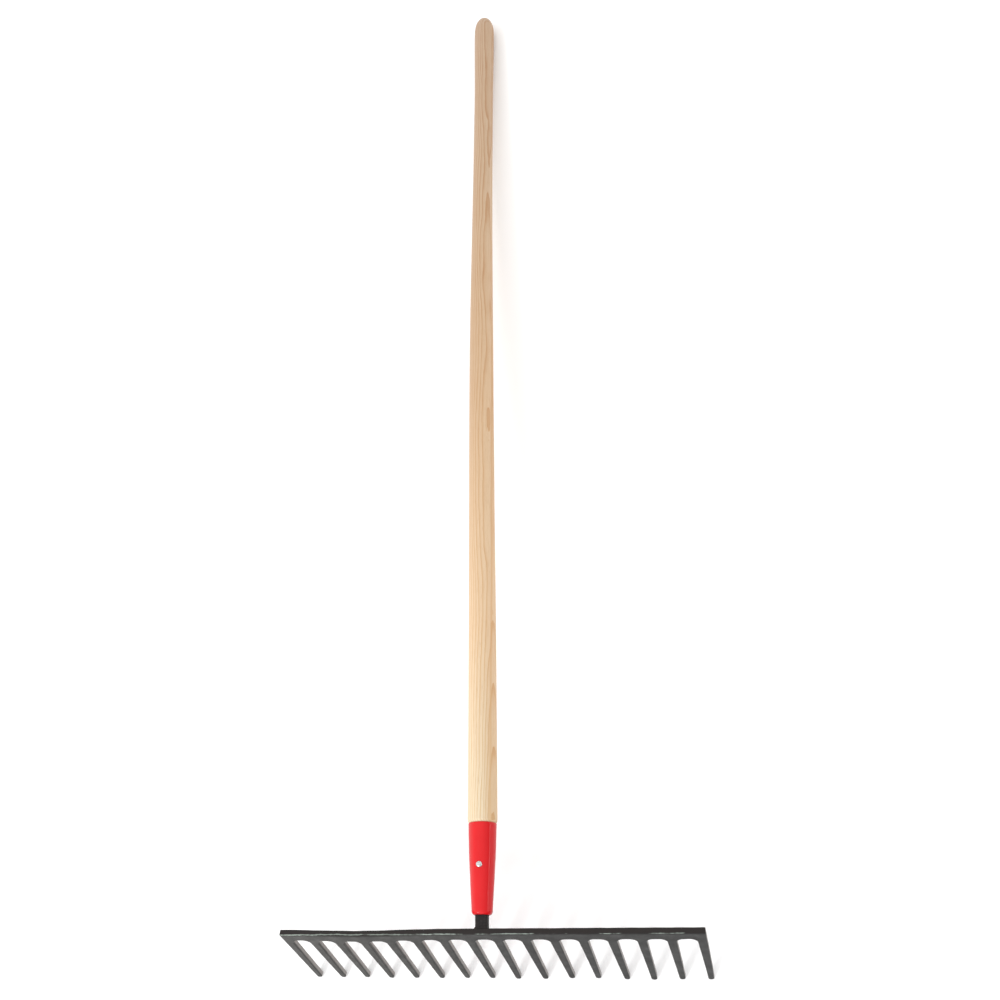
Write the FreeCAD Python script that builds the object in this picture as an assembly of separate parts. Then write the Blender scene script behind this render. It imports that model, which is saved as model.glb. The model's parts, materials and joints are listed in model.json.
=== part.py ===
"""Level-head garden rake: a forged sixteen-tine comb on an ash handle.

Everything is made in the rake's working axes: +Y is the handle's axis, measured
from the middle of the comb's bar, +X runs along the bar, and +Z is the side that
the tines point away from.  The rake is then laid down as it lies on the ground,
tine tips and handle end on Z = 0, centred in X and Y.  Millimetres and degrees.
"""
import FreeCAD, Part
import math
import os

os.makedirs("parts", exist_ok=True)
Vector = FreeCAD.Vector

# comb
tine_count = 16
tine_pitch = 27.0
tine_reach = 106.0          # back edge of the bar to the tine tips
bar_height = 13.0           # back edge of the bar to the roots of the gaps
bar_thickness = 5.8         # at the back edge
tip_thickness = 5.4
root_width = 8.8            # tine, at the roots of the gaps
tip_width = 5.6             # tine, at its tip
root_radius = 6.5           # corners of the gaps
comb_edge_radius = 0.9      # worn-over edges, front and rear
comb_corner_radius = 1.2    # outer corners of the bar
tip_roundness = 0.48        # corner radius of a tine's end, as a share of its width
head_lean = 18.0            # how far the comb is set open from square

# handle
handle_end = 1310.0         # middle of the bar to the top of the handle
handle_diameter = 29.8
straight_end = 640.0        # middle of the bar to the end of the parallel stretch
neck_diameter = 26.9
neck_start = 1000.0
neck_end = 1130.0
knob_diameter = 29.5
dome_length = 33.0          # elliptical end of the handle
shoulder_length = 3.0       # bevel from the ferrule's mouth out to full size

# ferrule
ferrule_start = 16.5        # middle of the bar to the ferrule's nose
ferrule_length = 84.0
ferrule_wall = 1.2
mouth_diameter = 28.3       # outside
mouth_taper = 0.5           # lost over the land, so that it drives on
mouth_land = 9.0            # stretch at the mouth that grips the wood
belly_diameter = 25.9       # outside, where the belly meets the cone
belly_length = 34.0         # mouth to the end of the belly
lip_length = 4.5
lip_depth = 2.8             # how far the lip is rolled in from the nose
lip_clearance = 0.48        # lip to the corners of the tang

# tang
tang_width = 12.0
tang_height = 9.0
tang_point_width = 7.0
tang_point_height = 6.0
tang_length = 112.0         # middle of the bar to the point
tang_edge_radius = 1.4
widest_rounding = 0.3       # most that a corner takes of a section's side
taper_start = 24.0          # middle of the bar to where the tang begins to taper
weld_leg = 1.5              # bead round the tang's root

# rivet
rivet_place = 61.0          # middle of the bar to the rivet
rivet_diameter = 4.4
rivet_head_diameter = 6.3
rivet_head_height = 1.3
rivet_skirt = 0.96          # how far the head's rim closes down over the ferrule's curve

# fits
seat_clearance = 0.05       # driven wood against steel, each side
point_clearance = 1.5       # bottom of the bore past the tang's point
nose_clearance = 10.0       # nose of the ferrule to the end of the wood

# sizes that follow
end_tine_place = (tine_count - 1) * tine_pitch / 2
taper_per_mm = (root_width - tip_width) / 2 / (tine_reach - bar_height)
ferrule_mouth = ferrule_start + ferrule_length
tang_corner = math.hypot(tang_width / 2 - tang_edge_radius, tang_height / 2 - tang_edge_radius)
lip_opening = 2 * (tang_corner + tang_edge_radius + lip_clearance)
nose_diameter = lip_opening + 2 * lip_depth
knob_place = handle_end - dome_length
bar_half_thickness = bar_thickness / 2
bar_half_height = bar_height / 2
handle_axis = Vector(0, 1, 0)
past = 5.0                  # how far a cutting shape runs past what it cuts
same_place = 0.01           # points nearer than this count as level
halvings = 60               # steps of the search for the resting slope


def half_width(depth):
    """Half the width of a tine, at a depth below the bar's back edge."""
    return tip_width / 2 + taper_per_mm * (tine_reach - depth)


def line(start, end):
    return Part.LineSegment(start, end).toShape()


def plate(points, depth):
    """Flat shape with these corners, given a depth."""
    return Part.Face(Part.makePolygon(points + points[:1])).extrude(depth)


def turned(edges):
    """Solid turned about the handle's axis from a closed half outline."""
    return Part.Face(Part.Wire(Part.__sortEdges__(edges))).revolve(Vector(), handle_axis, 360)


def profile(place, diameter):
    """Point of a turned outline, from its place on the handle's axis and a diameter."""
    return Vector(0, place, diameter / 2)


def ease(start, end):
    """Curve between two points of a turned outline, level at both."""
    middle = (start.y + end.y) / 2
    curve = Part.BezierCurve()
    curve.setPoles([start, Vector(0, middle, start.z), Vector(0, middle, end.z), end])
    return curve.toShape()


# comb, in axes of its own: front face on Y = 0, back edge on Z = 0, tines down
def through(edge, depth):
    """True for an edge that runs through the comb's thickness at this depth."""
    a, b = edge.Vertexes[0].Point, edge.Vertexes[-1].Point
    level = abs(a.z + depth) < same_place and abs(b.z + depth) < same_place
    return level and abs(a.x - b.x) < same_place


def make_comb():
    """One plate, thinner towards the tips, with the gaps cut up to the bar."""
    back = end_tine_place + half_width(0)
    foot = end_tine_place + half_width(tine_reach)
    comb = plate([Vector(-back, 0, 0), Vector(-back, bar_thickness, 0),
                  Vector(-back, tip_thickness, -tine_reach), Vector(-back, 0, -tine_reach)],
                 Vector(2 * back, 0, 0))
    through_all = Vector(0, bar_thickness + 2 * past, 0)
    comb = comb.common(plate([Vector(-back, -past, 0), Vector(back, -past, 0),
                              Vector(foot, -past, -tine_reach), Vector(-foot, -past, -tine_reach)],
                             through_all))
    below = tine_reach + past
    root = tine_pitch / 2 - half_width(bar_height)
    mouth = tine_pitch / 2 - half_width(below)
    gap = plate([Vector(-root, -past, -bar_height), Vector(root, -past, -bar_height),
                 Vector(mouth, -past, -below), Vector(-mouth, -past, -below)], through_all)
    gap = gap.makeFillet(root_radius, [e for e in gap.Edges if through(e, bar_height)])
    for number in range(tine_count - 1):
        middle = (number - tine_count / 2 + 1) * tine_pitch
        comb = comb.cut(gap.translated(Vector(middle, 0, 0)))
    comb = comb.makeFillet(tip_width * tip_roundness, [e for e in comb.Edges if through(e, tine_reach)])
    comb = comb.makeFillet(comb_corner_radius, [e for e in comb.Edges if through(e, 0)])
    sides = sorted(comb.Faces, key=lambda face: face.Area)[-2:]
    return comb.makeFillet(comb_edge_radius, sides[0].Edges + sides[1].Edges)


def in_front_of_rear_face():
    """Everything in front of the plane of the comb's rear face, as a cutting block."""
    lean = (bar_thickness - tip_thickness) / tine_reach
    above, below = tang_width, -bar_height - tang_width
    return plate([Vector(-tine_pitch, -tang_length, above),
                  Vector(-tine_pitch, bar_thickness + lean * above, above),
                  Vector(-tine_pitch, bar_thickness + lean * below, below),
                  Vector(-tine_pitch, -tang_length, below)],
                 Vector(2 * tine_pitch, 0, 0))


def hang(shape):
    """Set a shape in the comb's axes on the end of the tang, at the comb's lean."""
    moved = shape.translated(Vector(0, -bar_half_thickness, bar_half_height))
    moved.rotate(Vector(), Vector(1, 0, 0), -head_lean)
    return moved


# ferrule
def ferrule_line(inset):
    """The ferrule's surface from mouth to nose, moved in by an inset."""
    mouth = profile(ferrule_mouth, mouth_diameter - 2 * inset)
    land = profile(ferrule_mouth - mouth_land, mouth_diameter - mouth_taper - 2 * inset)
    belly = profile(ferrule_mouth - belly_length, belly_diameter - 2 * inset)
    nose = profile(ferrule_start + lip_length, nose_diameter - 2 * inset)
    down_land = (land - mouth).normalize()
    down_cone = (nose - belly).normalize()
    reach = (land - belly).Length / 3
    curve = Part.BezierCurve()
    curve.setPoles([land, land + down_land * reach, belly - down_cone * reach, belly])
    return mouth, [line(mouth, land), curve.toShape()], belly, nose, down_cone


def lip(nose, down_cone, end):
    """The lip rolled in from the end of the cone to the opening."""
    curve = Part.BezierCurve()
    corner = nose + down_cone * (nose.y - end.y)
    curve.setPoles([nose, nose.add(corner) / 2, corner, end])
    return curve.toShape()


def wall_side(inset):
    """Outside or inside of the ferrule's wall, between its two ends."""
    mouth, belly_edges, belly, nose, down_cone = ferrule_line(inset)
    opening = profile(ferrule_start + inset, lip_opening)
    return mouth, belly_edges + [line(belly, nose), lip(nose, down_cone, opening)], opening


def make_ferrule():
    """Tapered steel tube, its lip closed in round the tang."""
    outer_mouth, outside, outer_opening = wall_side(0)
    inner_mouth, inside, inner_opening = wall_side(ferrule_wall)
    ends = [line(outer_mouth, inner_mouth), line(outer_opening, inner_opening)]
    return turned(outside + inside + ends)


# tang
def section(place, width, height):
    """Rounded rectangle across the handle's axis."""
    radius = min(tang_edge_radius, width * widest_rounding, height * widest_rounding)
    x, z = width / 2 - radius, height / 2 - radius
    edges = []
    for start, cx, cz in ((0, x, z), (90, -x, z), (180, -x, -z), (270, x, -z)):
        points = []
        for angle in (start, start + 45, start + 90):
            turn = math.radians(angle)
            points.append(Vector(cx + radius * math.cos(turn), place, cz + radius * math.sin(turn)))
        if edges:
            edges.append(line(edges[-1].Vertexes[-1].Point, points[0]))
        edges.append(Part.Arc(*points).toShape())
    edges.append(line(edges[-1].Vertexes[-1].Point, edges[0].Vertexes[0].Point))
    return Part.Wire(edges)


def tang_shape(clearance, past_point):
    """Parallel neck and tapered spike. With a clearance it is also the bore in the wood."""
    grow = 2 * clearance
    neck = section(0, tang_width + grow, tang_height + grow)
    taper = section(taper_start, tang_width + grow, tang_height + grow)
    point = section(tang_length + past_point, tang_point_width + grow, tang_point_height + grow)
    return Part.makeLoft([neck, taper], True).fuse(Part.makeLoft([taper, point], True))


def make_tang(rivet_hole):
    """Spike with its root welded to the rear of the bar, drilled for the rivet."""
    lean = math.radians(head_lean)
    foot = bar_half_thickness / math.cos(lean)
    toe = foot + weld_leg + tang_height / 2 * math.tan(lean)
    grow = 2 * weld_leg * toe / (toe - foot)
    bead = Part.makeLoft([section(0, tang_width + grow, tang_height + grow),
                          section(toe, tang_width, tang_height)], True)
    tang = tang_shape(0, 0).fuse(bead).cut(hang(in_front_of_rear_face()))
    return tang.cut(rivet_hole).removeSplitter()


# handle
def make_handle(rivet_hole):
    """Turned ash: tapered tenon, parallel stretch, neck and domed knob."""
    mouth, tenon, belly, nose, down_cone = ferrule_line(ferrule_wall + seat_clearance)
    wood_start = ferrule_start + nose_clearance
    tenon_end = belly + down_cone * ((wood_start - belly.y) / down_cone.y)
    axis_start = Vector(0, wood_start, 0)
    axis_end = Vector(0, handle_end, 0)
    shoulder = profile(ferrule_mouth + shoulder_length, handle_diameter)
    parallel = profile(straight_end, handle_diameter)
    neck_near = profile(neck_start, neck_diameter)
    neck_far = profile(neck_end, neck_diameter)
    knob = profile(knob_place, knob_diameter)
    dome = Part.Ellipse(axis_end, knob, Vector(0, knob_place, 0))
    edges = tenon + [
        line(belly, tenon_end), line(mouth, shoulder), line(shoulder, parallel),
        ease(parallel, neck_near), line(neck_near, neck_far), ease(neck_far, knob),
        Part.ArcOfEllipse(dome, 0, math.pi / 2).toShape(),
        line(axis_end, axis_start), line(axis_start, tenon_end)]
    return turned(edges).cut(tang_shape(seat_clearance, point_clearance)).cut(rivet_hole)


# rivet
def make_rivet_hole():
    """The hole drilled through ferrule, wood and tang together."""
    return Part.makeCylinder(rivet_diameter / 2, 2 * mouth_diameter,
                             Vector(0, rivet_place, -mouth_diameter), Vector(0, 0, 1))


def make_rivet(ferrule, rivet_hole):
    """Shank with a low dome hammered on each end, closed down on the ferrule's curve."""
    probe = line(Vector(0, rivet_place, 0), Vector(0, rivet_place, mouth_diameter))
    seat = ferrule.common(probe).BoundBox.ZMax
    rim = rivet_head_diameter / 2
    under = seat - rivet_skirt
    crown = seat + rivet_head_height
    dome_radius = (rim ** 2 + rivet_head_height ** 2) / (2 * rivet_head_height)
    halfway = math.asin(rim / dome_radius) / 2
    dome = Part.Arc(Vector(0, rivet_place, crown),
                    Vector(dome_radius * math.sin(halfway), rivet_place,
                           crown - dome_radius * (1 - math.cos(halfway))),
                    Vector(rim, rivet_place, seat)).toShape()
    centre = Vector(0, rivet_place, 0)
    edges = [dome, line(Vector(rim, rivet_place, seat), Vector(rim, rivet_place, under)),
             line(Vector(rim, rivet_place, under), Vector(0, rivet_place, under)),
             line(Vector(0, rivet_place, under), Vector(0, rivet_place, crown))]
    head = Part.Face(Part.Wire(edges)).revolve(centre, Vector(0, 0, 1), 360)
    head = head.cut(ferrule.cut(rivet_hole))
    shank = rivet_hole.common(Part.makeBox(mouth_diameter, mouth_diameter, 2 * under,
                                           centre - Vector(mouth_diameter / 2, mouth_diameter / 2, under)))
    return head.fuse(shank).fuse(head.mirror(centre, Vector(0, 0, 1))).removeSplitter()


# laying down
def reach_down(slope):
    """How far the tips and the dome reach below the axes' origin, at a slope of the handle."""
    lean = math.radians(head_lean) + slope
    radius = comb_edge_radius
    tip_y = tip_thickness - bar_half_thickness - radius
    tip_z = tine_reach - bar_half_height - radius
    tips = tip_y * math.sin(lean) + tip_z * math.cos(lean) + radius
    dome = knob_place * math.sin(slope)
    dome += math.hypot(dome_length * math.sin(slope), knob_diameter / 2 * math.cos(slope))
    return tips, dome


def resting_slope():
    """The handle's slope, in radians, at which tips and dome touch the ground together."""
    low, high = 0.0, math.radians(45)
    for _ in range(halvings):
        slope = (low + high) / 2
        tips, dome = reach_down(slope)
        low, high = (slope, high) if dome < tips else (low, slope)
    return slope


slope = resting_slope()
lean = math.radians(head_lean) + slope
height = reach_down(slope)[0]
front = (bar_half_thickness - comb_edge_radius) * math.cos(lean) + comb_edge_radius
front += (tine_reach - bar_half_height - comb_edge_radius) * math.sin(lean)
far = knob_place * math.cos(slope)
far += math.hypot(dome_length * math.cos(slope), knob_diameter / 2 * math.sin(slope))
place = Vector(0, (front - far) / 2, height)


def lay_down(shape):
    """Turn a shape to the resting slope and set it in its place on the ground."""
    laid = shape.copy()
    laid.rotate(Vector(), Vector(1, 0, 0), -math.degrees(slope))
    laid.translate(place)
    return laid


rivet_hole = make_rivet_hole()
ferrule_tube = make_ferrule()
pieces = {
    "tine_head": hang(make_comb()),
    "tang": make_tang(rivet_hole),
    "ferrule": ferrule_tube.cut(rivet_hole),
    "rivet": make_rivet(ferrule_tube, rivet_hole),
    "handle": make_handle(rivet_hole),
}
for name, shape in pieces.items():
    laid = lay_down(shape)
    solid = laid.Solids[0] if len(laid.Solids) == 1 else laid
    solid.exportStep("parts/%s.step" % name)
    print(name, len(laid.Solids), laid.isValid(), round(laid.Volume), laid.BoundBox)
grip = (ferrule_mouth + shoulder_length + straight_end) / 2
print("slope", math.degrees(slope), "middle of the bar", place)
print("grip", place + Vector(0, grip * math.cos(slope), -grip * math.sin(slope)))
print("axis", Vector(0, math.cos(slope), -math.sin(slope)))
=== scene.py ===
import bmesh
import bpy
import json
import math
import random
from mathutils import Matrix, Vector, noise


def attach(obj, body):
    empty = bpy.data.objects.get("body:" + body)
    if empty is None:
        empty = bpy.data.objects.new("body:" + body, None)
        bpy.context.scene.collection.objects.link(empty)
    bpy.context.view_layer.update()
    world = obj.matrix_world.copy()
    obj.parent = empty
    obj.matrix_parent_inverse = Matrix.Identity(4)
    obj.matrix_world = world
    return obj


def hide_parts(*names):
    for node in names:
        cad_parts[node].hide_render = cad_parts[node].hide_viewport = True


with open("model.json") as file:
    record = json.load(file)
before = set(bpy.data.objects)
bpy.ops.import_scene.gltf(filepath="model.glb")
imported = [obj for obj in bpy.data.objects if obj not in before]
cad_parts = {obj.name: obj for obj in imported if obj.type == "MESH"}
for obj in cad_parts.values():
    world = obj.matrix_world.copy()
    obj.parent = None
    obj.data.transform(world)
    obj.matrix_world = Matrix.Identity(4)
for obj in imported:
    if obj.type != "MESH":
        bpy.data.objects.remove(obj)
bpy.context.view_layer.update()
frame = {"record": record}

# ================================================================ camera
# It stands high over the head, to the right of it, and looks down and to the left along the
# handle, so that the outer face of the comb is seen below the bar's dark back edge.
camera_data = bpy.data.cameras.new("camera")
camera = bpy.data.objects.new("camera", camera_data)
bpy.context.scene.collection.objects.link(camera)
camera.location = (0.27414, -0.65702, 1.10042)
camera.rotation_euler = [math.radians(angle) for angle in (25.0, 16.884, 0.16)]
camera_data.sensor_width = 36.0
camera_data.lens = 36.4
camera_data.shift_x = 0.05
camera_data.shift_y = -0.01
bpy.context.scene.camera = camera

# ================================================================ floor and light
# A plain white floor under a pale sky that is dimmer overhead and to the right. A very wide
# lamp shines from above and the left, a soft light stands in front on the left, and a long
# low strip light on the right runs along the handle.
bpy.context.scene.view_settings.view_transform = "Standard"
bpy.ops.object.select_all(action="DESELECT")
bpy.ops.mesh.primitive_plane_add(size=30.0, location=(0, 0, 0))
floor = bpy.context.object
floor.name = "floor"


def feed(tree, made, inputs):
    """Give a shader node's inputs their values or other nodes' outputs."""
    for name, value in inputs.items():
        if isinstance(value, bpy.types.NodeSocket):
            tree.links.new(value, made.inputs[name])
        else:
            made.inputs[name].default_value = value


def node(tree, kind, inputs=None, **settings):
    """Add a shader node with its settings and inputs."""
    made = tree.nodes.new(kind)
    for name, value in settings.items():
        setattr(made, name, value)
    feed(tree, made, inputs or {})
    return made


def calc(tree, operation, first, second=0.0):
    """Sum, product and the like of two values or outputs."""
    return node(tree, "ShaderNodeMath", {0: first, 1: second}, operation=operation).outputs[0]


def between(tree, value, low, high, start=0.0, end=1.0):
    """A value's share of the way from low to high, spread over start to end."""
    return node(tree, "ShaderNodeMapRange", {"Value": value, "From Min": low, "From Max": high,
                                             "To Min": start, "To Max": end}).outputs["Result"]


def parts_of(tree, vector):
    """A vector's X, Y and Z outputs, by name."""
    return node(tree, "ShaderNodeSeparateXYZ", {"Vector": vector}).outputs


def material(name):
    """New material: its node tree and its shader."""
    made = bpy.data.materials.new(name)
    made.use_nodes = True
    return made, made.node_tree, made.node_tree.nodes["Principled BSDF"]


floor_white, tree, shader = material("floor_white")
feed(tree, shader, {"Base Color": (0.96, 0.96, 0.96, 1), "Roughness": 1.0, "Specular IOR Level": 0.0})
floor.data.materials.append(floor_white)

sky = bpy.data.worlds.new("sky")
sky.use_nodes = True
bpy.context.scene.world = sky
tree = sky.node_tree
towards = parts_of(tree, node(tree, "ShaderNodeTexCoord").outputs["Generated"])
upward = between(tree, towards["Z"], 0.12, 0.5, 1.25, 0.75)
rightward = between(tree, towards["X"], 0.0, 0.8, 1.0, 0.42)
feed(tree, tree.nodes["Background"], {"Color": (1, 1, 1, 1),
                                      "Strength": calc(tree, "MULTIPLY", upward, rightward)})


def softbox(name, place, target, wide, high, power):
    """Rectangular soft light at a place, facing a target."""
    light = bpy.data.lights.new(name, "AREA")
    light.shape = "RECTANGLE"
    light.size = wide
    light.size_y = high
    light.energy = power
    lamp = bpy.data.objects.new(name, light)
    bpy.context.scene.collection.objects.link(lamp)
    lamp.location = place
    lamp.rotation_euler = (Vector(target) - Vector(place)).to_track_quat("-Z", "Y").to_euler()


softbox("front_left", (-1.3, -2.3, 1.9), (0, -0.3, 0), 0.65, 0.65, 26)
softbox("right_strip", (1.9, -0.1, 0.45), (0, -0.1, 0.05), 3.0, 0.32, 9)
sun = bpy.data.lights.new("overhead", "SUN")
sun.energy = 1.65
sun.angle = math.radians(175)
sun_lamp = bpy.data.objects.new("overhead", sun)
bpy.context.scene.collection.objects.link(sun_lamp)
sun_lamp.rotation_euler = (math.radians(5), math.radians(-26), 0)

# ================================================================ comb
# The comb is one steel forging: a flat bar whose sixteen tines are blanked out and drawn to
# rounded tips. It is dipped in a thin black lacquer, with painted shade from paler on the left to
# darker on the right. The back edge is dark with scale and painted shade, the sides of the tines
# carry a painted reflection, and the bar's front corner is worn to bright steel with a painted
# highlight.
tine_count = 16
tine_pitch = 0.027
tine_reach = 0.106          # back edge of the bar to the tips
bar_height = 0.013
bar_thickness = 0.0058      # at the back edge
tip_thickness = 0.0054
root_width = 0.0088
tip_width = 0.0056
root_radius = 0.0065
tip_radius = 0.0026
edge_radius = 0.0009
tine_cuts = 8               # rows of points down a tine
cut_spacing = 0.0098
bar_bow = 0.0016            # the bar bows out of line over its left part
bow_middle = -0.125
bow_spread = 0.055
tine_wander = 0.0007        # how far a tip stands out of its row
hammering = 0.00013         # depth of the dents
wide_dents = 110            # to the metre
small_dents = 400

mounts = {mount["name"]: mount for mount in frame["record"]["mounts"]}
along_bar = Vector((1, 0, 0))
out_of_comb = Vector(mounts["comb_face"]["axis"])
up_the_comb = along_bar.cross(-out_of_comb)
face_middle = Vector(mounts["comb_face"]["pos_m"])
back_edge = bar_height / 2
tips = back_edge - tine_reach


def lay_out(along, painted_side_light, up, origin):
    """Place of a piece that is modelled upright in axes of its own, as a matrix."""
    return Matrix.Translation(origin) @ Matrix((along, painted_side_light, up)).transposed().to_4x4()


def start_edit(piece):
    """Select a piece alone and open it in edit mode with all of it selected."""
    bpy.ops.object.select_all(action="DESELECT")
    piece.select_set(True)
    bpy.context.view_layer.objects.active = piece
    bpy.ops.object.mode_set(mode="EDIT")
    bpy.ops.mesh.select_all(action="SELECT")


def pick(kind, test):
    """In edit mode, select the vertices, edges or faces that pass a test, and nothing else."""
    bpy.ops.mesh.select_mode(type=kind)
    bpy.ops.mesh.select_all(action="DESELECT")
    mesh = bmesh.from_edit_mesh(bpy.context.object.data)
    for element in {"VERT": mesh.verts, "EDGE": mesh.edges, "FACE": mesh.faces}[kind]:
        if test(element):
            element.select_set(True)
    mesh.select_flush_mode()
    bmesh.update_edit_mesh(bpy.context.object.data)


def middle_of(element):
    """Middle of an edge or face."""
    return sum((corner.co for corner in element.verts), Vector()) / len(element.verts)


def near(value, other):
    """Whether two lengths are the same."""
    return abs(value - other) < 1e-5


def apply_modifier(piece, kind, **settings):
    """Add a modifier to a piece and apply it."""
    bpy.ops.object.select_all(action="DESELECT")
    piece.select_set(True)
    bpy.context.view_layer.objects.active = piece
    modifier = piece.modifiers.new(kind.lower(), kind)
    for name, value in settings.items():
        setattr(modifier, name, value)
    bpy.ops.object.modifier_apply(modifier=modifier.name)


def clean(piece):
    """Merge doubled points and turn every face outwards."""
    start_edit(piece)
    bpy.ops.mesh.remove_doubles(threshold=1e-5)
    bpy.ops.mesh.select_all(action="SELECT")
    bpy.ops.mesh.normals_make_consistent(inside=False)
    bpy.ops.object.mode_set(mode="OBJECT")


def put(piece, where, crease):
    """Smooth a finished piece and set it in place, with the place kept in its mesh."""
    bpy.ops.object.select_all(action="DESELECT")
    piece.select_set(True)
    bpy.context.view_layer.objects.active = piece
    bpy.ops.object.shade_smooth_by_angle(angle=math.radians(crease))
    piece.matrix_world = where
    bpy.ops.object.transform_apply(location=True, rotation=True, scale=True)


# One pitch of the comb, from the middle of one tine to the middle of the next.
half_gap = tine_pitch / 2 - root_width / 2
bpy.ops.object.select_all(action="DESELECT")
bpy.ops.mesh.primitive_cube_add(size=1, location=(0, bar_thickness / 2, 0),
                                scale=(tine_pitch, bar_thickness, bar_height))
comb = bpy.context.object
comb.name = "forged_comb"
bpy.ops.object.transform_apply(location=True, rotation=True, scale=True)
start_edit(comb)
for side in (-1, 1):
    bpy.ops.mesh.select_all(action="SELECT")
    bpy.ops.mesh.bisect(plane_co=(side * half_gap, 0, 0), plane_no=(1, 0, 0))
pick("FACE", lambda face: face.normal.z < -0.9 and abs(middle_of(face).x) > half_gap)
bpy.ops.mesh.extrude_region_move(TRANSFORM_OT_translate={"value": (0, 0, bar_height - tine_reach)})
pick("VERT", lambda corner: near(corner.co.z, tips) and near(abs(corner.co.x), half_gap))
spread = (tine_pitch - tip_width) / 2 / half_gap
bpy.ops.transform.resize(value=(spread, 1, 1), center_override=(0, bar_thickness / 2, tips))
pick("VERT", lambda corner: near(corner.co.z, tips) and near(corner.co.y, bar_thickness))
bpy.ops.transform.translate(value=(0, tip_thickness - bar_thickness, 0))
pick("EDGE", lambda edge: near(middle_of(edge).z, -back_edge) and near(abs(middle_of(edge).x), half_gap)
     and near(edge.verts[0].co.x, edge.verts[1].co.x))
bpy.ops.mesh.bevel(offset=root_radius, segments=7, affect="EDGES")
pick("EDGE", lambda edge: near(middle_of(edge).z, tips) and abs(middle_of(edge).x) < tine_pitch / 2 - 1e-4
     and near(edge.verts[0].co.x, edge.verts[1].co.x))
bpy.ops.mesh.bevel(offset=tip_radius, segments=5, affect="EDGES")
for cut in range(1, tine_cuts + 1):
    bpy.ops.mesh.select_all(action="SELECT")
    level = -back_edge - root_radius - cut * cut_spacing
    bpy.ops.mesh.bisect(plane_co=(0, 0, level), plane_no=(0, 0, 1))
pick("FACE", lambda face: near(abs(middle_of(face).x), tine_pitch / 2) and abs(face.normal.x) > 0.9)
bpy.ops.mesh.delete(type="ONLY_FACE")
bpy.ops.object.mode_set(mode="OBJECT")

# Fifteen of them in a row, and the outer halves of the two end tines drawn out from the cuts.
comb.location.x = -(tine_count - 2) * tine_pitch / 2
bpy.ops.object.transform_apply(location=True, rotation=False, scale=False)
apply_modifier(comb, "ARRAY", count=tine_count - 1, use_relative_offset=False, use_constant_offset=True,
               constant_offset_displace=(tine_pitch, 0, 0), use_merge_vertices=True, merge_threshold=1e-5)
row_end = (tine_count - 1) * tine_pitch / 2
start_edit(comb)
for side in (-1, 1):
    pick("EDGE", lambda edge: len(edge.link_faces) == 1 and near(middle_of(edge).x, side * row_end))
    bpy.ops.mesh.extrude_region_move(TRANSFORM_OT_translate={"value": (side * tip_width / 2, 0, 0)})
    pick("EDGE", lambda edge: len(edge.link_faces) == 1 and middle_of(edge).x * side > row_end)
    bpy.ops.mesh.edge_face_add()
mesh = bmesh.from_edit_mesh(comb.data)
draft = (root_width - tip_width) / 2 / (tine_reach - bar_height)
for corner in mesh.verts:
    if abs(corner.co.x) > row_end + 1e-4:
        corner.co.x += math.copysign(draft * (corner.co.z - tips), corner.co.x)
bmesh.update_edit_mesh(comb.data)
outer_tip = row_end + tip_width / 2
pick("EDGE", lambda edge: near(middle_of(edge).z, tips) and near(abs(middle_of(edge).x), outer_tip))
bpy.ops.mesh.bevel(offset=tip_radius, segments=5, affect="EDGES")
bpy.ops.object.mode_set(mode="OBJECT")
clean(comb)
apply_modifier(comb, "BEVEL", width=edge_radius, segments=3, limit_method="ANGLE",
               angle_limit=math.radians(40), use_clamp_overlap=True)
apply_modifier(comb, "SUBSURF", subdivision_type="SIMPLE", levels=2, render_levels=2)

# Forging marks: a bow in the bar, tines knocked a little out of line, and hammered faces.
dice = random.Random(16)
noise.seed_set(16)
lean = [(dice.uniform(-1, 1), dice.uniform(-1, 1), dice.uniform(0, 1)) for _ in range(tine_count)]
for corner in comb.data.vertices:
    point = corner.co.copy()
    down = min(max((-back_edge - point.z) / (tine_reach - bar_height), 0), 1)
    sideways, outwards, shorter = lean[min(max(round((point.x + row_end) / tine_pitch), 0), tine_count - 1)]
    corner.co.x += tine_wander * sideways * down ** 2
    corner.co.y += tine_wander * outwards * down ** 2
    corner.co.z += tine_wander * shorter * down ** 4
    corner.co.y -= bar_bow * math.exp(-((point.x - bow_middle) / bow_spread) ** 2) * (1 - down)
    corner.co += noise.noise_vector(point * wide_dents) * hammering
    corner.co += noise.noise_vector(point * small_dents) * hammering / 3
comb.data.update()
comb_place = lay_out(along_bar, -out_of_comb, up_the_comb, face_middle)
put(comb, comb_place, 180)


def own_axes(tree, where):
    """A piece's own axes as a texture's coordinates, centred and turned on the piece."""
    plain = node(tree, "ShaderNodeTexCoord").outputs["Object"]
    inputs = {"Vector": plain, "Location": where.translation, "Rotation": where.to_euler()}
    return node(tree, "ShaderNodeMapping", inputs, vector_type="TEXTURE").outputs["Vector"]


def cloud(tree, vector, size, detail=2.0):
    """Soft noise with lumps of about a size, in metres."""
    inputs = {"Vector": vector, "Scale": 1 / size, "Detail": detail}
    return node(tree, "ShaderNodeTexNoise", inputs).outputs["Fac"]


def mixed(tree, share, first, second, blend_type="MIX"):
    """Colour between two colours or outputs."""
    return node(tree, "ShaderNodeMix", {0: share, 6: first, 7: second}, data_type="RGBA",
                blend_type=blend_type).outputs[2]


def bumped(tree, height, strength, depth):
    """Surface normals roughened by a relief."""
    return node(tree, "ShaderNodeBump", {"Height": height, "Strength": strength,
                                         "Distance": depth}).outputs["Normal"]


lacquer_painted_lit = (0.036, 0.0345, 0.031, 1)
lacquer_painted_shade = (0.014, 0.0135, 0.0128, 1)
thick_lacquer = (0.016, 0.015, 0.0145, 1)
side_painted_shade = (0.06, 0.056, 0.053, 1)
sheared_side_painted_sheen = (0.25, 0.23, 0.218, 1)
scale_and_painted_shade = (0.022, 0.018, 0.017, 1)
worn_steel_and_highlight = (0.21, 0.24, 0.215, 1)

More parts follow.
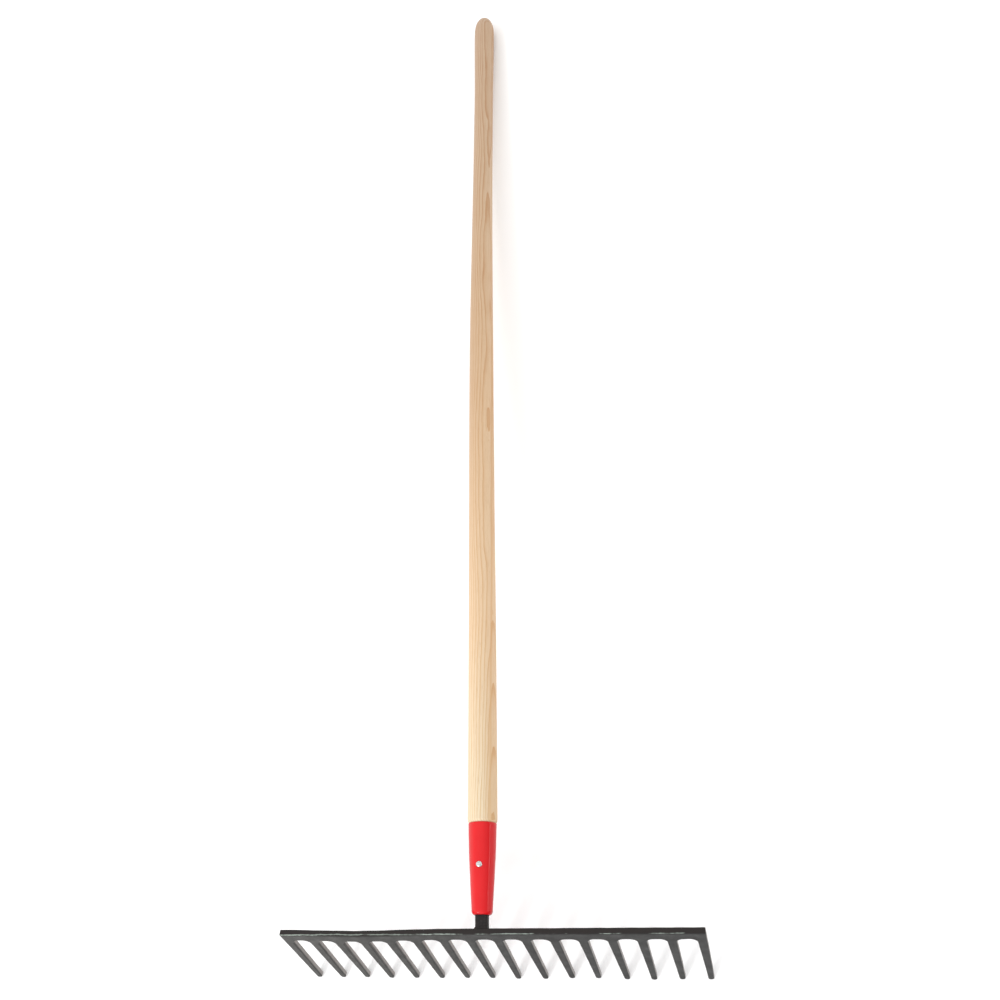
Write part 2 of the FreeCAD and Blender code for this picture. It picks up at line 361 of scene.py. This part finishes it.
comb_lacquer, tree, shader = material("comb_lacquer")
place = own_axes(tree, comb_place)
axis = parts_of(tree, place)
patches = cloud(tree, place, 0.012, 4.0)
grain = cloud(tree, place, 0.0012, 3.0)
# Painted shade: the lacquer goes from paler on the left to darker on the right.
colour = mixed(tree, between(tree, axis["X"], -0.2, 0.06), lacquer_painted_lit, lacquer_painted_shade)
colour = mixed(tree, between(tree, patches, 0.3, 0.7, 0.0, 0.3), colour, thick_lacquer)
# Painted light on the sides of the tines: a painted reflection makes them pale, with painted shade next to
# their front edges.
facing = parts_of(tree, node(tree, "ShaderNodeTexCoord").outputs["Normal"])
side_facing = calc(tree, "ADD", calc(tree, "ABSOLUTE", facing["X"]), calc(tree, "MULTIPLY", grain, 0.2))
tine_side_painted_light = mixed(tree, between(tree, axis["Y"], 0.0005, 0.0018), side_painted_shade, sheared_side_painted_sheen)
colour = mixed(tree, between(tree, side_facing, 0.75, 0.95), colour, tine_side_painted_light)
# The back edge is darker: forge scale, and painted shade on its upward face.
scale_height = calc(tree, "ADD", axis["Z"], calc(tree, "MULTIPLY", grain, 0.0006))
colour = mixed(tree, between(tree, scale_height, back_edge - 0.0002, back_edge + 0.0003), colour, scale_and_painted_shade)

# The worn line follows the front corner and strays a little behind it. It is wear with a painted highlight,
# stronger towards the left.
over_corner = calc(tree, "POWER", calc(tree, "SUBTRACT", axis["Z"], back_edge), 2.0)
wobble = calc(tree, "MULTIPLY", calc(tree, "SUBTRACT", cloud(tree, place, 0.016), 0.46), 0.002)
behind_line = calc(tree, "SUBTRACT", axis["Y"], calc(tree, "MAXIMUM", wobble, 0.0))
behind_corner = calc(tree, "POWER", behind_line, 2.0)
from_corner = calc(tree, "POWER", calc(tree, "ADD", behind_corner, over_corner), 0.5)
ragged = calc(tree, "ADD", from_corner, calc(tree, "MULTIPLY", cloud(tree, place, 0.003, 4.0), -0.0011))
rubbed_and_left_lit = calc(tree, "SUBTRACT", cloud(tree, place, 0.014, 4.0), calc(tree, "MULTIPLY", axis["X"], 0.6))
worn_and_highlight = calc(tree, "MULTIPLY", between(tree, ragged, 0.0001, -0.00015), between(tree, rubbed_and_left_lit, 0.42, 0.56))
feed(tree, shader, {"Base Color": mixed(tree, worn_and_highlight, colour, worn_steel_and_highlight),
                    "Metallic": between(tree, worn_and_highlight, 0.0, 1.0, 0.0, 0.6),
                    "Roughness": between(tree, patches, 0.3, 0.7, 0.34, 0.5),
                    "Specular IOR Level": 0.15,
                    "Normal": bumped(tree, grain, 0.25, 0.0002)})
comb.data.materials.clear()
comb.data.materials.append(comb_lacquer)
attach(comb, "root")
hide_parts("tine_head")

# ================================================================ tang
# A forged steel spike, welded by its root to the rear of the bar, square to hold the handle
# from turning and drawn to a blunt point inside the wood. It is left black from the fire.
tang_width = 0.012
tang_height = 0.009
tang_point = (0.007, 0.006)
tang_length = 0.112         # middle of the bar to the point
root_end = 0.006
taper_start = 0.024
blunt_length = 0.002
blunt_share = 0.7           # width left at the very end
tang_corner = 0.0014
weld_leg = 0.0015
weld_ripples = 22
ripple_depth = 0.15         # of the bead's height
forge_dents = 0.00018       # depth of the dents
forge_dent_rate = 180       # to the metre

along_handle = Vector(mounts["grip"]["axis"])
bar_middle = face_middle - out_of_comb * bar_thickness / 2
handle_place = lay_out(along_bar, along_handle.cross(along_bar), along_handle, bar_middle)
bpy.ops.object.select_all(action="DESELECT")
bpy.ops.mesh.primitive_cube_add(size=1, location=(0, 0, 0), scale=(tang_width, tang_height, 2 * root_end))
tang = bpy.context.object
tang.name = "forged_tang"
bpy.ops.object.transform_apply(location=True, rotation=True, scale=True)
start_edit(tang)
for reach, width, height in ((taper_start, tang_width, tang_height),
                             (tang_length - blunt_length, *tang_point),
                             (tang_length, tang_point[0] * blunt_share, tang_point[1] * blunt_share)):
    pick("FACE", lambda face: face.normal.z > 0.9)
    top = max(corner.co.z for corner in bmesh.from_edit_mesh(tang.data).verts)
    ends = [corner.co for corner in bmesh.from_edit_mesh(tang.data).verts if near(corner.co.z, top)]
    bpy.ops.mesh.extrude_region_move(TRANSFORM_OT_translate={"value": (0, 0, reach - top)})
    narrower = (width / 2 / max(end.x for end in ends), height / 2 / max(end.y for end in ends), 1)
    bpy.ops.transform.resize(value=narrower, center_override=(0, 0, reach))
pick("EDGE", lambda edge: abs(edge.verts[0].co.z - edge.verts[1].co.z) > 0.001)
bpy.ops.mesh.bevel(offset=tang_corner, segments=4, affect="EDGES")
rear_face = bar_middle - out_of_comb * bar_thickness / 2
turn_back = handle_place.inverted()
bpy.ops.mesh.select_all(action="SELECT")
bpy.ops.mesh.bisect(plane_co=turn_back @ rear_face, plane_no=turn_back.to_3x3() @ out_of_comb,
                    clear_outer=True, use_fill=True)
for number in range(1, 5):
    bpy.ops.mesh.select_all(action="SELECT")
    bpy.ops.mesh.bisect(plane_co=turn_back @ (rear_face - out_of_comb * weld_leg * number / 4),
                        plane_no=turn_back.to_3x3() @ out_of_comb)
bpy.ops.object.mode_set(mode="OBJECT")
apply_modifier(tang, "SUBSURF", subdivision_type="SIMPLE", levels=2, render_levels=2)
for corner in tang.data.vertices:
    point = corner.co.copy()
    off_bar = (rear_face - handle_place @ point).dot(out_of_comb)
    if off_bar < weld_leg:
        around = math.atan2(point.y / tang_height, point.x / tang_width)
        bead = weld_leg * math.sqrt(max(1 - (off_bar / weld_leg) ** 2, 0))
        bead *= 1 - ripple_depth + ripple_depth * math.sin(weld_ripples * around)
        outwards = Vector((point.x, point.y, 0))
        if outwards.length > tang_height * 0.35:
            corner.co += outwards.normalized() * bead * 0.8
    corner.co += noise.noise_vector(point * forge_dent_rate) * forge_dents
tang.data.update()
put(tang, handle_place, 50)

fire_black = (0.0105, 0.0086, 0.0083, 1)
fire_grey = (0.0255, 0.0205, 0.0205, 1)
pit_grey = (0.07, 0.065, 0.06, 1)

forge_black, tree, shader = material("forge_black")
place = own_axes(tree, handle_place)
fire_scale = cloud(tree, place, 0.0025, 4.0)
pits = node(tree, "ShaderNodeTexVoronoi", {"Vector": place, "Scale": 420.0}).outputs["Distance"]
colour = mixed(tree, between(tree, fire_scale, 0.35, 0.7), fire_black, fire_grey)
feed(tree, shader, {"Base Color": mixed(tree, between(tree, pits, 0.13, 0.08), colour, pit_grey),
                    "Roughness": between(tree, fire_scale, 0.3, 0.7, 0.5, 0.75),
                    "Specular IOR Level": 0.2,
                    "Normal": bumped(tree, cloud(tree, place, 0.0009, 3.0), 0.5, 0.0003)})
tang.data.materials.append(forge_black)
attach(tang, "root")
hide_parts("tang")

# ================================================================ ferrule
# A tube of 1.2 mm sheet steel, pressed to a taper, its nose rolled in round the tang and its
# mouth driven over the end of the wood. It is sprayed and stoved in a glossy red enamel.
ferrule_start = 0.0165      # middle of the bar to the nose
ferrule_mouth = 0.1005
ferrule_wall = 0.0012
mouth_diameter = 0.0283
land_diameter = 0.0278
land_end = 0.0915
belly_diameter = 0.0259
belly_end = 0.0665
nose_diameter = 0.0205
lip_start = 0.021
lip_opening = 0.0149
cut_edge = 0.0003           # how far the cut edges are broken
pressing = 0.00012          # depth of the unevenness
pressing_rate = 60          # to the metre
mouth_swell = 0.18          # how the wall swells between the belly and the land
mouth_skew = 0.35           # how much sooner than halfway it does
lip_puckers = 9
pucker_depth = 0.0002


def ferrule_radius(z):
    """Outer radius of the ferrule at a place along the handle's axis."""
    if z > land_end:
        share = (z - land_end) / (ferrule_mouth - land_end)
        return (land_diameter + (mouth_diameter - land_diameter) * share) / 2
    if z > belly_end:
        share = (z - belly_end) / (land_end - belly_end)
        swelling = share + share * (1 - share) * (mouth_skew * (1 - 2 * share) + mouth_swell)
        return (belly_diameter + (land_diameter - belly_diameter) * swelling) / 2
    return (nose_diameter + (belly_diameter - nose_diameter) * (z - lip_start) / (belly_end - lip_start)) / 2


def turn_profile(name, stations, around):
    """Tube turned about its own axis: a ring drawn up through places and radii."""
    bpy.ops.object.select_all(action="DESELECT")
    height, radius = stations[0]
    bpy.ops.mesh.primitive_circle_add(vertices=around, radius=radius, fill_type="NOTHING",
                                      location=(0, 0, height))
    piece = bpy.context.object
    piece.name = name
    bpy.ops.object.transform_apply(location=True, rotation=True, scale=True)
    start_edit(piece)
    for next_height, next_radius in stations[1:]:
        bpy.ops.mesh.extrude_region_move(TRANSFORM_OT_translate={"value": (0, 0, next_height - height)})
        bpy.ops.transform.resize(value=(next_radius / radius, next_radius / radius, 1),
                                 center_override=(0, 0, next_height))
        height, radius = next_height, next_radius
    bpy.ops.object.mode_set(mode="OBJECT")
    return piece


def evenly(start, end, count):
    """Evenly spaced values after the start, up to the end."""
    return [start + (end - start) * step / count for step in range(1, count + 1)]


stations = []
for turn in [0, *evenly(0, math.radians(90), 8)]:
    stations.append((ferrule_start + (lip_start - ferrule_start) * (1 - math.cos(turn)),
                     lip_opening / 2 + (nose_diameter - lip_opening) / 2 * math.sin(turn)))
for start, end, count in ((lip_start, belly_end, 11), (belly_end, land_end, 8), (land_end, ferrule_mouth, 3)):
    stations += [(z, ferrule_radius(z)) for z in evenly(start, end, count)]
ferrule = turn_profile("pressed_ferrule", stations, 96)
clean(ferrule)
apply_modifier(ferrule, "SOLIDIFY", thickness=ferrule_wall, offset=-1, use_even_offset=True)
apply_modifier(ferrule, "BEVEL", width=cut_edge, segments=2, limit_method="ANGLE",
               angle_limit=math.radians(50))
for corner in ferrule.data.vertices:
    point = corner.co.copy()
    pressed = noise.noise(point * pressing_rate) * pressing
    if point.z < lip_start:
        around = math.atan2(point.y, point.x)
        rolled_in = (lip_start - point.z) / (lip_start - ferrule_start)
        pressed += pucker_depth * math.sin(lip_puckers * around) * rolled_in
    corner.co += Vector((point.x, point.y, 0)).normalized() * pressed
ferrule.data.update()
put(ferrule, handle_place, 40)

full_red = (0.60, 0.0045, 0.008, 1)
light_red = (0.63, 0.0065, 0.0095, 1)
left_red_painted_shade = (0.525, 0.0065, 0.0085, 1)
right_red_painted_shade = (0.55, 0.003, 0.006, 1)
thin_red = (0.5, 0.02, 0.02, 1)

red_enamel, tree, shader = material("red_enamel")
place = own_axes(tree, handle_place)
axis = parts_of(tree, place)
colour = mixed(tree, between(tree, cloud(tree, place, 0.02), 0.35, 0.65), full_red, light_red)
# Painted shade: the enamel is darker towards its left and right sides.
colour = mixed(tree, between(tree, axis["X"], -0.005, -0.012), colour, left_red_painted_shade)
colour = mixed(tree, between(tree, axis["X"], 0.004, 0.010), colour, right_red_painted_shade)
run_off = calc(tree, "ADD", axis["Z"], calc(tree, "MULTIPLY", cloud(tree, place, 0.003), 0.0006))
thin_edge = between(tree, run_off, ferrule_mouth - 0.0001, ferrule_mouth + 0.0003)
feed(tree, shader, {"Base Color": mixed(tree, thin_edge, colour, thin_red),
                    "Roughness": 0.4, "Specular IOR Level": 0.1,
                    "Coat Weight": 0.42, "Coat Roughness": 0.04,
                    "Normal": bumped(tree, cloud(tree, place, 0.0016), 0.12, 0.0002)})
ferrule.data.materials.append(red_enamel)
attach(ferrule, "root")
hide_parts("ferrule")

# ================================================================ handle
# A turned ash pole: a tapered tenon inside the ferrule, a shoulder bevelled down to the
# ferrule's mouth, a long parallel stretch, a slimmer neck and a knob with a domed end. It is
# sanded and thinly varnished, and like most such poles it has a slight natural bow and lean.
handle_end = 1.31           # middle of the bar to the top of the dome
handle_diameter = 2 * mounts["grip"]["dims"]["r_mm"] / 1000
straight_end = 0.64
neck_start = 1.0
neck_end = 1.13
neck_diameter = 0.0269
knob_place = 1.277
knob_diameter = 0.0295
dome_bluntness = 0.82       # 1 is half an ellipsoid, less is blunter
sanding_depth = 0.012       # share of the radius
shoulder_length = 0.003
shoulder_foot = 0.0009      # how far the shoulder starts below the ferrule's outside
shoulder_crown = 0.0003     # how far it is still below the parallel stretch near its top
tenon_start = 0.0265
tenon_end = 0.0905          # just short of where the ferrule's mouth widens
bore_depth = 0.087
bore_radius = 0.0079
bore_taper = 0.6
slip = 0.00005              # between the tenon and the ferrule
pole_bow = 0.0028           # to the left in the middle
pole_lean = 0.0036          # how far the domed end stands out of line


def eased(start, end, share):
    """Value between two, level at both ends."""
    return start + (end - start) * share * share * (3 - 2 * share)


stations = [(tenon_start, ferrule_radius(tenon_start) - ferrule_wall - slip)]
for z in evenly(tenon_start, tenon_end, 8):
    stations.append((z, ferrule_radius(z) - ferrule_wall - slip))
shoulder = ferrule_mouth + shoulder_length
stations += [(ferrule_mouth, mouth_diameter / 2 - ferrule_wall - slip),
             (ferrule_mouth + 0.0001, mouth_diameter / 2 - shoulder_foot),
             (ferrule_mouth + shoulder_length * 0.6, handle_diameter / 2 - shoulder_crown),
             (shoulder, handle_diameter / 2)]
for z in evenly(shoulder, straight_end, 27):
    stations.append((z, handle_diameter / 2))
for z, share in zip(evenly(straight_end, neck_start, 16), evenly(0, 1, 16)):
    stations.append((z, eased(handle_diameter, neck_diameter, share) / 2))
for z in evenly(neck_start, neck_end, 5):
    stations.append((z, neck_diameter / 2))
for z, share in zip(evenly(neck_end, knob_place, 10), evenly(0, 1, 10)):
    stations.append((z, eased(neck_diameter, knob_diameter, share) / 2))
for turn in evenly(0, math.radians(88.5), 12):
    stations.append((knob_place + (handle_end - knob_place) * math.sin(turn) ** dome_bluntness,
                     knob_diameter / 2 * math.cos(turn)))
handle = turn_profile("ash_handle", stations, 72)
start_edit(handle)
pick("EDGE", lambda edge: len(edge.link_faces) == 1)
bpy.ops.mesh.edge_face_add()
pick("FACE", lambda face: len(face.verts) > 8 and middle_of(face).z < tenon_start + 0.001)
end_radius = ferrule_radius(tenon_start) - ferrule_wall
bpy.ops.mesh.inset(thickness=end_radius - bore_radius)
bpy.ops.mesh.extrude_region_move(TRANSFORM_OT_translate={"value": (0, 0, bore_depth)})
bpy.ops.transform.resize(value=(bore_taper, bore_taper, 1), center_override=(0, 0, tenon_start + bore_depth))
bpy.ops.object.mode_set(mode="OBJECT")
clean(handle)
for corner in handle.data.vertices:
    point = corner.co.copy()
    share = min(max((point.z - ferrule_mouth) / (handle_end - ferrule_mouth), 0), 1)
    corner.co.x -= pole_bow * math.sin(math.pi * share) ** 2 + pole_lean * share
    if point.z > shoulder:
        sanding = noise.noise(Vector((point.x * 30, point.y * 30, point.z * 9)))
        corner.co += Vector((point.x, point.y, 0)) * sanding_depth * sanding
handle.data.update()
put(handle, handle_place, 35)


def stretched(tree, vector, scale):
    """Coordinates stretched or squeezed along each axis."""
    return node(tree, "ShaderNodeVectorMath", {0: vector, 1: scale}, operation="MULTIPLY").outputs["Vector"]


def strayed(tree, vector, size, reach):
    """Noise about zero, as a length: how far a line in the wood strays."""
    return calc(tree, "MULTIPLY", calc(tree, "SUBTRACT", cloud(tree, vector, size), 0.5), reach)


def tinted(tree, colour, tint):
    """Colour darkened or lightened by a tint."""
    return mixed(tree, 1.0, colour, tint, "MULTIPLY")


def ramp(tree, value, stops):
    """Colour that goes from stop to stop along a value."""
    made = node(tree, "ShaderNodeValToRGB", {"Fac": value})
    elements = made.color_ramp.elements
    elements[0].position, elements[0].color = stops[0]
    elements[1].position, elements[1].color = stops[-1]
    for position, colour in stops[1:-1]:
        elements.new(position).color = colour
    return made.outputs["Color"]


# Growth rings about a pith outside the pole. They stray along it, sweep aside by the ferrule and
# show broader towards the domed end. The late wood of a ring is dark, and pales across it.
pith = (-0.073, 0.052, 0)
ring_width = 0.0027
late_wood = [(0.0, 1), (0.1, 0.8), (0.24, 0.3), (0.45, 0.06), (0.94, 0), (1.0, 0)]
pale_wood = [(0.0, (0.69, 0.585, 0.42, 1)), (0.18, (0.66, 0.49, 0.32, 1)), (0.42, (0.565, 0.395, 0.245, 1)),
             (0.75, (0.50, 0.355, 0.232, 1)), (1.0, (0.47, 0.335, 0.225, 1))]
pore_brown = (0.40, 0.24, 0.12, 1)

ash_wood, tree, shader = material("ash_wood")
place = own_axes(tree, handle_place)
axis = parts_of(tree, place)
drift = between(tree, axis["Z"], 0.1, 1.28)
wander = strayed(tree, stretched(tree, place, (6, 6, 1)), 0.24, 0.014)
waver = strayed(tree, stretched(tree, place, (5, 5, 1)), 0.03, 0.0012)
flare = calc(tree, "MULTIPLY", between(tree, axis["Z"], 0.28, 0.1), between(tree, axis["X"], 0.003, 0.0115))
flat_place = stretched(tree, place, (1, 1, 0))
from_pith = node(tree, "ShaderNodeVectorMath", {0: flat_place, 1: pith},
                 operation="SUBTRACT").outputs["Vector"]
distance = node(tree, "ShaderNodeVectorMath", {0: from_pith}, operation="LENGTH").outputs["Value"]
ring_place = calc(tree, "ADD", distance, calc(tree, "ADD", wander, waver))
ring_place = calc(tree, "ADD", ring_place, calc(tree, "MULTIPLY", flare, 0.0065))
ring = calc(tree, "FRACT", calc(tree, "DIVIDE", ring_place, ring_width))
ring = calc(tree, "MULTIPLY", ring, between(tree, axis["Z"], 0.35, 1.2, 1.0, 0.62))
rings = ramp(tree, ring, [(position, (level, level, level, 1)) for position, level in late_wood])
strength = calc(tree, "MULTIPLY", rings, between(tree, cloud(tree, place, 0.05), 0.3, 0.7, 0.65, 1.0))
fine = cloud(tree, stretched(tree, place, (1, 1, 0.02)), 0.0007, 3.0)
pores = between(tree, cloud(tree, stretched(tree, place, (1, 1, 0.035)), 0.00035, 1.0), 0.6, 0.72)

# The wood is creamy by the ferrule and browner towards the domed end. By the ferrule its right
# side is warmer and darker, partly tone and partly painted shade. Further up, painted shade darkens
# the left side and painted light makes the right side paler. The right side has one brown streak.
light = ramp(tree, drift, pale_wood)
dark = tinted(tree, light, mixed(tree, drift, (0.82, 0.62, 0.42, 1), (0.70, 0.50, 0.33, 1)))
wood = mixed(tree, strength, light, dark)
# Painted light further up the pole: the left side darker, the right side paler.
painted_side_light = mixed(tree, between(tree, axis["X"], -0.013, 0.012), (0.90, 0.90, 0.905, 1), (1.18, 1.21, 1.24, 1))
wood = mixed(tree, between(tree, axis["Z"], 0.2, 0.62), wood, tinted(tree, wood, painted_side_light))
side_edge = calc(tree, "ADD", axis["X"], calc(tree, "MULTIPLY", wander, 0.4))
# Partly tone and partly painted shade: the right side warmer and darker by the ferrule.
warmth = between(tree, drift, 0.0, 0.25, 0.95, 0.1)
warm_side_and_painted_shade = calc(tree, "MULTIPLY", between(tree, side_edge, 0.004, 0.0115), warmth)
wood = mixed(tree, warm_side_and_painted_shade, wood, tinted(tree, wood, (0.92, 0.78, 0.66, 1)))
wood = mixed(tree, between(tree, fine, 0.35, 0.75, 0.0, 0.28), wood, dark)
wood = mixed(tree, calc(tree, "MULTIPLY", pores, 0.35), wood, pore_brown)
off_streak = calc(tree, "ABSOLUTE", calc(tree, "SUBTRACT", side_edge, 0.0105))
streak = between(tree, off_streak, 0.0012, 0.0003, 0.0, 0.6)
wood = mixed(tree, streak, wood, tinted(tree, light, (0.86, 0.66, 0.46, 1)))
relief = calc(tree, "ADD", calc(tree, "MULTIPLY", strength, -0.4), calc(tree, "MULTIPLY", fine, 0.6))
feed(tree, shader, {"Base Color": wood,
                    "Roughness": between(tree, fine, 0.3, 0.7, 0.42, 0.56), "Specular IOR Level": 0.3,
                    "Coat Weight": 0.05, "Coat Roughness": 0.3,
                    "Normal": bumped(tree, relief, 0.12, 0.0002)})
handle.data.materials.append(ash_wood)
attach(handle, "root")
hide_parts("handle")

# ================================================================ rivet
# A soft steel rivet through ferrule, wood and tang, so that nothing pulls off. Both heads
# are hammered down by hand after painting, so they are bright, lumpy and a little out of round.
rivet_place = 0.061
rivet_diameter = 0.0044
rivet_head_diameter = 0.006
head_profile = ((0.0, 1.0), (0.0006, 1.02), (0.0011, 0.9), (0.0016, 0.62), (0.0017, 0.3))
out_of_round = 0.92
lumps = 0.00022
head_bedding = 0.0004       # how far the heads bed down round the ferrule's curve

seat = ferrule_radius(rivet_place)
shank_end = seat - head_bedding
bpy.ops.object.select_all(action="DESELECT")
bpy.ops.mesh.primitive_cylinder_add(vertices=10, radius=rivet_diameter / 2, depth=2 * shank_end,
                                    end_fill_type="NGON", location=(0, 0, 0))
rivet = bpy.context.object
rivet.name = "hammered_rivet"
start_edit(rivet)
for side in (-1, 1):
    height, radius = side * shank_end, rivet_diameter / 2
    for up, share in head_profile:
        pick("FACE", lambda face: face.normal.z * side > 0.9 and near(middle_of(face).z, height))
        next_height, next_radius = side * (shank_end + up), rivet_head_diameter / 2 * share
        bpy.ops.mesh.extrude_region_move(TRANSFORM_OT_translate={"value": (0, 0, next_height - height)})
        bpy.ops.transform.resize(value=(next_radius / radius, next_radius / radius, 1),
                                 center_override=(0, 0, next_height))
        height, radius = next_height, next_radius
bpy.ops.object.mode_set(mode="OBJECT")
dice = random.Random(9)
for corner in rivet.data.vertices:
    corner.co.y *= out_of_round
    if abs(corner.co.z) > seat:
        corner.co += Vector((dice.uniform(-1, 1), dice.uniform(-1, 1), dice.uniform(-1, 0.4))) * lumps
    elif Vector(corner.co[:2]).length > rivet_diameter * 0.6:
        over_curve = seat - math.sqrt(seat ** 2 - corner.co.x ** 2)
        corner.co.z -= math.copysign(over_curve, corner.co.z)
clean(rivet)
across_handle = Matrix.Rotation(math.radians(90), 4, "X")
put(rivet, handle_place @ Matrix.Translation((0, 0, rivet_place)) @ across_handle, 18)

struck_steel = (0.66, 0.69, 0.68, 1)
dull_steel = (0.36, 0.38, 0.37, 1)

bright_steel, tree, shader = material("bright_steel")
place = own_axes(tree, handle_place)
dull = cloud(tree, place, 0.0012, 3.0)
feed(tree, shader, {"Base Color": mixed(tree, between(tree, dull, 0.35, 0.7), struck_steel, dull_steel),
                    "Metallic": 1.0, "Roughness": between(tree, dull, 0.3, 0.7, 0.28, 0.5)})
rivet.data.materials.append(bright_steel)
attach(rivet, "root")
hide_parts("rivet")
